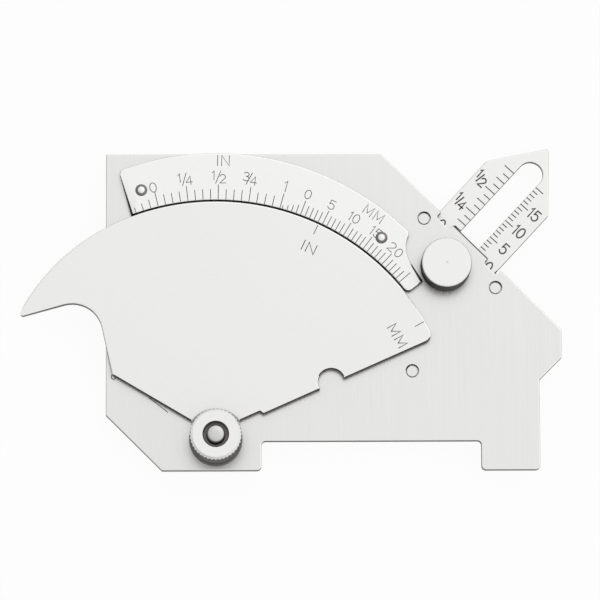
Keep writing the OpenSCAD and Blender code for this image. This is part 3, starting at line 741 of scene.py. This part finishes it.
screw_low, screw_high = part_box("thumb_screw")
screw_r = (screw_high.x - screw_low.x) / 2
screw_seat = screw_high.z - SCREW_HEAD_H
screw_face = turned_finish("screw_face", lock_axis, rings=5200.0, roughness=0.36, ring_tone=0.05)
screw_knurl = ground_finish("screw_knurl", KNURL_AND_SHADE_STEEL, FITTING_GRAIN, roughness=0.42, streak_tone=0.3)
screw_end_face = [
    (screw_r - SCREW_BEVEL, screw_high.z),
    (SCREW_DIMPLE_R, screw_high.z),
    (0.0, screw_high.z - SCREW_DIMPLE_R),
]
screw_shank = [
    (screw_r - SCREW_BEVEL, screw_seat),
    (SCREW_SHANK_R, screw_seat),
    (SCREW_SHANK_R, screw_low.z + SCREW_END_BEVEL),
    (SCREW_SHANK_R - SCREW_END_BEVEL, screw_low.z),
    (0.0, screw_low.z),
]
screw_parts = [(screw_face, screw_end_face), (plain_fitting, screw_shank)]
knurled_piece("thumb_screw", "thumb_screw_knurled", screw_parts, lock_axis, screw_r, low=screw_seat,
              high=screw_high.z, bevel=SCREW_BEVEL, teeth=SCREW_TEETH, depth=SCREW_KNURL_DEPTH,
              side_finish=screw_knurl)

# Arc scale
# A satin steel band riveted on the body above the cam. Its inner edge carries sixteenths of an inch on the
# left and millimetres on the right, each placed so that the cam's own mark reads the height of its beak over
# the feet.
SCALE_STEEL = (0.90, 0.90, 0.89)
SCALE_GRAIN = (1300.0, 1300.0, 1300.0)
SCALE_EDGE_BREAK = 0.24 * MM
SCALE_END_CHAMFER = 0.42 * MM
SCALE_END_EDGE = 4.0 * MM
SCALE_MARKS_FROM = 52.85 * MM
SCALE_LINE = 0.17 * MM
SCALE_SIGN_STRETCH = 1.2
SCALE_WORD_H = 2.25 * MM
RIVET_FLAT = 0.93
BEAK_RADIUS = 50.75 * MM
FEET_DROP = 6.7 * MM
INCH_ZERO = math.radians(103.65)
METRIC_ZERO = math.radians(69.3)
# Zero, count of marks from it on and below it, step, short and long mark, and how often a long one is
MARK_ROWS = (
    (INCH_ZERO, 17, 3, SIXTEENTH, 2.3 * MM, 3.3 * MM, 4.0),
    (METRIC_ZERO, 26, 4, 1.0 * MM, 2.4 * MM, 3.2 * MM, 5.0),
)
BELOW_ZERO_LONG = 1.9 * MM
BELOW_ZERO_SHRINK = 0.4 * MM
# Text, with its reading in mm, the zero that it counts from, and its radius and height in mm
SCALE_SIGNS = (
    ("0", -0.1, INCH_ZERO, 57.15, 2.1),
    ("1/4", 6.3, INCH_ZERO, 57.7, 2.7),
    ("1/2", 12.8, INCH_ZERO, 57.8, 2.7),
    ("3/4", 18.7, INCH_ZERO, 57.9, 2.7),
    ("1", 25.3, INCH_ZERO, 57.8, 2.4),
    ("0", 0.0, METRIC_ZERO, 57.6, 2.0),
    ("5", 5.0, METRIC_ZERO, 57.5, 2.0),
    ("10", 10.0, METRIC_ZERO, 57.4, 2.0),
    ("15", 15.0, METRIC_ZERO, 57.4, 2.0),
    ("20", 20.0, METRIC_ZERO, 57.2, 2.0),
)
# Text, with its angle in degrees and its radius in mm
SCALE_WORDS = (("IN", 88.3, 61.5), ("MM", 55.0, 60.5))

scale_face = ground_finish("scale_face", SCALE_STEEL, SCALE_GRAIN, roughness=0.36, streak_tone=0.06,
                           mottle_tone=0.04)
scale_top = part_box("scale_plate")[1].z
scale_shape = solid_of("scale_plate")
end_edges = [edge for edge in scale_shape.edges if is_sharp(edge) and is_at_height(edge, scale_top)
             and edge.calc_length() > SCALE_END_EDGE]
chamfer(scale_shape, end_edges, SCALE_END_CHAMFER)
plate_piece(scale_shape, "scale_plate", "arc_scale_steel", scale_face, "body",
            SCALE_EDGE_BREAK)
# The steep rim of each rivet dome is painted dark grey as shade.
for rivet in ("scale_rivet_left", "scale_rivet_right"):
    fitting_piece(rivet, rivet + "_domed", scale_face, shade_painted_finish, RIVET_FLAT)


def make_arc_marks():
    """Marks at the angles to which the cam swings as its beak rises in even steps over the feet."""
    tree, given, result = new_growth("arc_marks", {
        **MARK_SIZES, "Zero": "Float", "Beak radius": "Float", "Feet drop": "Float", "Inner": "Float"})
    reading, length = mark_lengths(tree, given)
    rise = calc(tree, "DIVIDE", calc(tree, "SUBTRACT", reading, given["Feet drop"]), given["Beak radius"])
    rest = calc(tree, "ARCSINE", calc(tree, "DIVIDE", given["Feet drop"], given["Beak radius"]))
    swing = calc(tree, "ADD", calc(tree, "ARCSINE", rise), rest)
    angle = calc(tree, "SUBTRACT", given["Zero"], swing)
    radius = calc(tree, "MULTIPLY_ADD", length, 0.5, given["Inner"])
    place_marks(tree, given, result, polar_place(tree, radius, angle, given["Level"]), angle, length)
    return tree


def reading_angle(reading, zero):
    """Direction from the pivot at which a reading stands."""
    rest = math.asin(FEET_DROP / BEAK_RADIUS)
    return zero - math.asin((reading - FEET_DROP) / BEAK_RADIUS) - rest


arc_marks = make_arc_marks()
arc_scale = dict(
    Beak_radius=BEAK_RADIUS, Feet_drop=FEET_DROP, Inner=SCALE_MARKS_FROM, Middle_every=1.0, Line=SCALE_LINE,
    Depth=FILL_DEPTH, Level=fill_middle(scale_top), Fill=etched_fill)
scale_marks = bmesh.new()
for zero, count, below, step, short, long, every in MARK_ROWS:
    add_grown(scale_marks, arc_marks, Zero=zero, Count=count, First=0.0, Step=step, Short=short,
              Middle=short, Long=long, Long_every=every, Shrink=0.0, **arc_scale)
    add_grown(scale_marks, arc_marks, Zero=zero, Count=below, First=-step, Step=-step, Short=BELOW_ZERO_LONG,
              Middle=BELOW_ZERO_LONG, Long=BELOW_ZERO_LONG, Long_every=1.0, Shrink=BELOW_ZERO_SHRINK,
              **arc_scale)
for text, reading, zero, radius, height in SCALE_SIGNS:
    angle = reading_angle(reading * MM, zero)
    etch_sign(scale_marks, text, way_at(angle) * radius * MM, height * MM, angle - math.pi / 2, SCALE_LINE,
              scale_top, stretch=SCALE_SIGN_STRETCH)
for text, degrees, radius in SCALE_WORDS:
    angle = math.radians(degrees)
    etch_sign(scale_marks, text, way_at(angle) * radius * MM, SCALE_WORD_H, angle - math.pi / 2, SCALE_LINE,
              scale_top)
marks_piece("scale_marks", scale_marks, "body")

# Cam plate
# The beaked plate that swings on the stud. It is stainless sheet with a finer satin than the body. Its rim
# carries one index mark for each half of the arc scale. Its lower edge is painted dark as shade, and a dark
# ring of painted shade lies round the pivot under the nut.
CAM_STEEL = (0.86, 0.86, 0.85)
CAM_GRAIN = (1100.0, 1500.0, 1100.0)
CAM_EDGE_BREAK = 0.24 * MM
CAM_HUB_REACH = 6.6 * MM
CAM_TIP_REACH = 1.6 * MM
CAM_HEEL_X = -22.0 * MM
CAM_RIM = 52.4 * MM
CAM_MARK_LONG = 2.1 * MM
CAM_SIGN_H = 2.2 * MM
CAM_SIGN_STRETCH = 1.15
CAM_SIGN_LINE = SCALE_LINE * 1.2
LOWER_SHARE = -0.4
# Painted shade: a dark ring on the cam round the nut.
PIVOT_SHADE_REACH = 6.3 * MM
PIVOT_SHADE_FADE = 0.5 * MM
PIVOT_SHADE_TONE = 0.3
# Text, with the angles of its mark and of itself in degrees, and its radius in mm
CAM_SIGNS = (("IN", 64.5, 64.05, 46.8), ("MM", 29.4, 29.6, 45.6))


def shade_round_pivot(finish):
    """Darkens a finish in a ring round the pivot, which is the Z axis, as painted shade round the nut."""
    tree = finish.node_tree
    colour = tree.nodes["Principled BSDF"].inputs["Base Color"]
    radius = radius_at(tree, add_node(tree, "ShaderNodeTexCoord").outputs["Object"])
    tone = add_node(tree, "ShaderNodeMapRange", {
        "Value": radius, "From Min": PIVOT_SHADE_REACH, "From Max": PIVOT_SHADE_REACH + PIVOT_SHADE_FADE,
        "To Min": PIVOT_SHADE_TONE, "To Max": 1.0}, interpolation_type="SMOOTHSTEP").outputs["Result"]
    put(tree, colour, toned(tree, colour.links[0].from_socket, tone))


def is_shaded_lower_edge(face):
    """Whether a rounding is on the cam's lower edge, which is painted dark as shade."""
    return face.normal.to_2d().normalized().y < LOWER_SHARE and face.calc_center_median().x > CAM_HEEL_X


cam_face = ground_finish("cam_face", CAM_STEEL, CAM_GRAIN, roughness=0.36, streak_tone=0.05, mottle_tone=0.04,
                         mottle_size=0.04)
# Paints shade in a ring round the nut.
shade_round_pivot(cam_face)
cam_shape = solid_of("cam_plate")
beak_tip = min((corner.co for corner in cam_shape.verts), key=lambda place: place.x).to_2d()
plate_piece(cam_shape, "cam_plate", "cam_plate_steel", cam_face, "cam", CAM_EDGE_BREAK,
            unbroken=[(axis_of("pivot_nut"), CAM_HUB_REACH), (beak_tip, CAM_TIP_REACH)],
            is_shaded_rounding=is_shaded_lower_edge)
cam_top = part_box("cam_plate")[1].z
mark_outer = CAM_RIM - CAM_EDGE_BREAK - SCALE_LINE / 2
cam_marks = bmesh.new()
for text, mark_degrees, degrees, radius in CAM_SIGNS:
    out = way_at(math.radians(mark_degrees))
    etch_stroke(cam_marks, [out * (mark_outer - CAM_MARK_LONG), out * mark_outer], SCALE_LINE, cam_top)
    angle = math.radians(degrees)
    etch_sign(cam_marks, text, way_at(angle) * radius * MM, CAM_SIGN_H, angle - math.pi / 2, CAM_SIGN_LINE,
              cam_top, stretch=CAM_SIGN_STRETCH)
marks_piece("cam_marks", cam_marks, "cam")

# Pivot washer and pivot nut
# A plain steel washer lies on the cam, and a round nut screws down on it to set the drag of the swing. The
# nut is turned, with a deep recess round the stud's domed end, and its side has a diamond knurl that the top
# bevel cuts through.
NUT_BEVEL = 0.6 * MM
NUT_RECESS_R = 2.7 * MM
NUT_RECESS_DEPTH = 2.4 * MM
NUT_RECESS_BEVEL = 0.18 * MM
NUT_BORE_R = 2.05 * MM
NUT_TEETH = 40
NUT_KNURL_DEPTH = 0.2 * MM

# The washer under the nut is painted dark grey as shade.
fitting_piece("pivot_washer", "pivot_washer_turned", shade_painted_finish)
nut_low, nut_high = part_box("pivot_nut")
nut_r = (nut_high.x - nut_low.x) / 2
nut_axis = axis_of("pivot_nut")
nut_end_face = [
    (nut_r - NUT_BEVEL, nut_high.z),
    (NUT_RECESS_R + NUT_RECESS_BEVEL, nut_high.z),
]
nut_recess = [
    (NUT_RECESS_R + NUT_RECESS_BEVEL, nut_high.z),
    (NUT_RECESS_R, nut_high.z - NUT_RECESS_BEVEL),
    (NUT_RECESS_R, nut_high.z - NUT_RECESS_DEPTH),
    (NUT_BORE_R, nut_high.z - NUT_RECESS_DEPTH),
    (NUT_BORE_R, nut_low.z),
    (nut_r - NUT_BEVEL, nut_low.z),
]
nut_face = turned_finish("nut_face", nut_axis, rings=4200.0, roughness=0.34, ring_tone=0.10)
# The nut's knurl is painted near black, with painted shade of its grooves and sides.
nut_knurl = ground_finish("nut_knurl", KNURL_AND_SHADE_STEEL, FITTING_GRAIN, roughness=0.4, streak_tone=0.3)
# The nut's recess, bore and underside are painted dark grey as shade.
nut_parts = [(nut_face, nut_end_face), (shade_painted_finish, nut_recess)]
knurled_piece("pivot_nut", "pivot_nut_knurled", nut_parts, nut_axis, nut_r, low=nut_low.z,
              high=nut_high.z, bevel=NUT_BEVEL, teeth=NUT_TEETH, depth=NUT_KNURL_DEPTH,
              side_finish=nut_knurl)

# Floor, light and camera
# A plain pale floor under a soft studio tent that is brightest above, behind and to the right, with one
# large lamp over the top right corner. A long lens looks down on the graduated faces, leaning a little
# towards the feet.
WHITE = (1.0, 1.0, 1.0, 1.0)
FLOOR_HALF = 2.5
FLOOR_DROP = 0.1 * MM
FLOOR_CORNERS = ((-1, -1), (1, -1), (1, 1), (-1, 1))
FLOOR_WHITE = (0.92, 0.92, 0.92, 1.0)
FLOOR_GLOW = 0.92
TENT_BRIGHT_WAY = Vector((0.60, 0.45, 0.66)).normalized()
TENT_DARK_FROM = -0.6
TENT_DARK, TENT_BRIGHT = 0.42, 1.08
LAMP_PLACE = Vector((0.35, 0.75, 1.0))
LAMP_TARGET = Vector((0.02, 0.03, 0.0))
LAMP_WIDTH, LAMP_LENGTH = 1.4, 1.0
LAMP_ENERGY = 0.6
CAMERA_TARGET = Vector((18.48, 30.79, 4.6)) * MM
CAMERA_DISTANCE = 1.0
CAMERA_TILT = math.radians(9.5)
CAMERA_SIDE = math.radians(-1.06)
CAMERA_ROLL = math.radians(-0.318)
PHOTO_PIXELS = 600
PIXELS_PER_METRE = 4575.0
SENSOR_MM = 36.0

floor_mesh = bpy.data.meshes.new("floor")
floor_places = [(x * FLOOR_HALF, y * FLOOR_HALF, -FLOOR_DROP) for x, y in FLOOR_CORNERS]
floor_mesh.from_pydata(floor_places, [], [(0, 1, 2, 3)])
floor = bpy.data.objects.new("floor", floor_mesh)
bpy.context.scene.collection.objects.link(floor)
floor_finish = bpy.data.materials.new("floor_paper")
floor_finish.use_nodes = True
paper = floor_finish.node_tree
paper.nodes.clear()
rays = add_node(paper, "ShaderNodeLightPath").outputs
mirrored = calc(paper, "MAXIMUM", rays["Is Glossy Ray"], rays["Is Transmission Ray"])
seen = calc(paper, "MAXIMUM", rays["Is Camera Ray"], mirrored)
lit_paper = add_node(paper, "ShaderNodeBsdfDiffuse", {"Color": FLOOR_WHITE})
glow = add_node(paper, "ShaderNodeEmission", {"Color": WHITE, "Strength": 1.0})
glow_share = calc(paper, "MULTIPLY", seen, FLOOR_GLOW)
mixed = add_node(paper, "ShaderNodeMixShader", {0: glow_share, 1: lit_paper.outputs[0], 2: glow.outputs[0]})
add_node(paper, "ShaderNodeOutputMaterial", {"Surface": mixed.outputs[0]})
floor_mesh.materials.append(floor_finish)

tent = bpy.data.worlds.new("studio_tent")
bpy.context.scene.world = tent
tent.use_nodes = True
air = tent.node_tree
air.nodes.clear()
way = add_node(air, "ShaderNodeTexCoord").outputs["Generated"]
facing = add_node(air, "ShaderNodeVectorMath", {0: way, 1: TENT_BRIGHT_WAY}, operation="DOT_PRODUCT")
strength = add_node(air, "ShaderNodeMapRange", {
    "Value": facing.outputs["Value"], "From Min": TENT_DARK_FROM, "From Max": 1.0, "To Min": TENT_DARK,
    "To Max": TENT_BRIGHT})
sky = add_node(air, "ShaderNodeBackground", {"Color": WHITE, "Strength": strength.outputs["Result"]})
add_node(air, "ShaderNodeOutputWorld", {"Surface": sky.outputs[0]})

lamp = bpy.data.lights.new("top_lamp", "AREA")
lamp.shape = "RECTANGLE"
lamp.size = LAMP_WIDTH
lamp.size_y = LAMP_LENGTH
lamp.energy = LAMP_ENERGY
lamp_stand = bpy.data.objects.new("top_lamp", lamp)
lamp_stand.location = LAMP_PLACE
lamp_stand.rotation_euler = (LAMP_TARGET - LAMP_PLACE).to_track_quat("-Z", "Y").to_euler()
bpy.context.scene.collection.objects.link(lamp_stand)

lens = bpy.data.cameras.new("long_lens")
lens.sensor_fit = "HORIZONTAL"
lens.sensor_width = SENSOR_MM
lens.lens = SENSOR_MM * PIXELS_PER_METRE * CAMERA_DISTANCE / PHOTO_PIXELS
camera = bpy.data.objects.new("long_lens", lens)
back = Vector((math.sin(CAMERA_SIDE) * math.cos(CAMERA_TILT), -math.sin(CAMERA_TILT),
               math.cos(CAMERA_TILT) * math.cos(CAMERA_SIDE))).normalized()
right = Vector((0.0, 1.0, 0.0)).cross(back).normalized()
up = back.cross(right)
rolled_right = right * math.cos(CAMERA_ROLL) + up * math.sin(CAMERA_ROLL)
rolled_up = up * math.cos(CAMERA_ROLL) - right * math.sin(CAMERA_ROLL)
place = CAMERA_TARGET + back * CAMERA_DISTANCE
rows = [[rolled_right[i], rolled_up[i], back[i], place[i]] for i in range(3)]
camera.matrix_world = Matrix(rows + [[0, 0, 0, 1]])
bpy.context.scene.collection.objects.link(camera)
bpy.context.scene.camera = camera
bpy.context.scene.view_settings.view_transform = "Standard"
